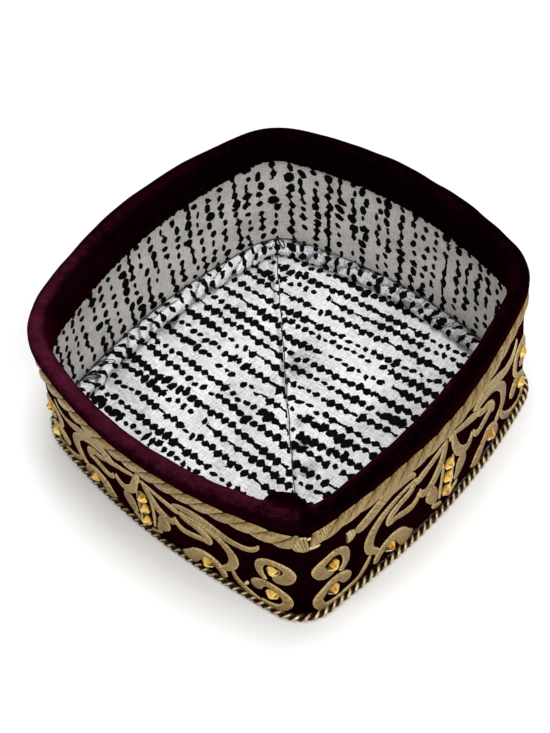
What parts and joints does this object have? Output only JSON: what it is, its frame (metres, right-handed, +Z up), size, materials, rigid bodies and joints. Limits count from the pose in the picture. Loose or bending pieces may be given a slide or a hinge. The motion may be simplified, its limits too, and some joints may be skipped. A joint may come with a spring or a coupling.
{
  "type": "tubeteika skullcap",
  "caption": "Square soft skullcap of wine velvet with bowed sides, gold rope border, scroll embroidery, amber studs and printed cotton lining, lying crown down with its opening up",
  "frame": {"origin": "on the surface that the crown lies on, under the middle of the cap's box", "axes": "+Z up out of the opening, the four sides facing close to +X, +Y, -X and -Y, and the front corner towards +X and -Y"},
  "size_m": [0.1712, 0.1816, 0.07],
  "materials": {
    "velvet": "wine velvet with a short matte pile",
    "lining_cotton": "plain-woven white cotton with rows of black printed dots",
    "gold_thread": "satin-stitched antique gold thread",
    "gold_cord": "twisted metallic gold cord",
    "amber_stone": "faceted amber stud, polished"
  },
  "bodies": {
    "root": {"crown": "velvet", "side_band": "velvet", "rim_binding": "velvet", "side_lining": "lining_cotton", "crown_lining": "lining_cotton", "lining_seam_roll": "lining_cotton", "crown_cord": "gold_cord", "rope_border": "gold_thread", "stone_front_right_upper_eye_a": "amber_stone", "stone_front_right_upper_eye_b": "amber_stone", "stone_front_right_lower_eye_a": "amber_stone", "stone_front_right_lower_eye_b": "amber_stone", "stone_front_right_leaf_a": "amber_stone", "stone_front_right_leaf_b": "amber_stone", "stone_front_right_column_top": "amber_stone", "stone_front_right_column_middle": "amber_stone", "stone_front_right_column_bottom": "amber_stone", "stone_back_right_upper_eye_a": "amber_stone", "stone_back_right_upper_eye_b": "amber_stone", "stone_back_right_lower_eye_a": "amber_stone", "stone_back_right_lower_eye_b": "amber_stone", "stone_back_right_leaf_a": "amber_stone", "stone_back_right_leaf_b": "amber_stone", "stone_back_right_column_top": "amber_stone", "stone_back_right_column_middle": "amber_stone", "stone_back_right_column_bottom": "amber_stone", "stone_back_left_upper_eye_a": "amber_stone", "stone_back_left_upper_eye_b": "amber_stone", "stone_back_left_lower_eye_a": "amber_stone", "stone_back_left_lower_eye_b": "amber_stone", "stone_back_left_leaf_a": "amber_stone", "stone_back_left_leaf_b": "amber_stone", "stone_back_left_column_top": "amber_stone", "stone_back_left_column_middle": "amber_stone", "stone_back_left_column_bottom": "amber_stone", "stone_front_left_upper_eye_a": "amber_stone", "stone_front_left_upper_eye_b": "amber_stone", "stone_front_left_lower_eye_a": "amber_stone", "stone_front_left_lower_eye_b": "amber_stone", "stone_front_left_leaf_a": "amber_stone", "stone_front_left_leaf_b": "amber_stone", "stone_front_left_column_top": "amber_stone", "stone_front_left_column_middle": "amber_stone", "stone_front_left_column_bottom": "amber_stone"}
  },
  "joints": []
}
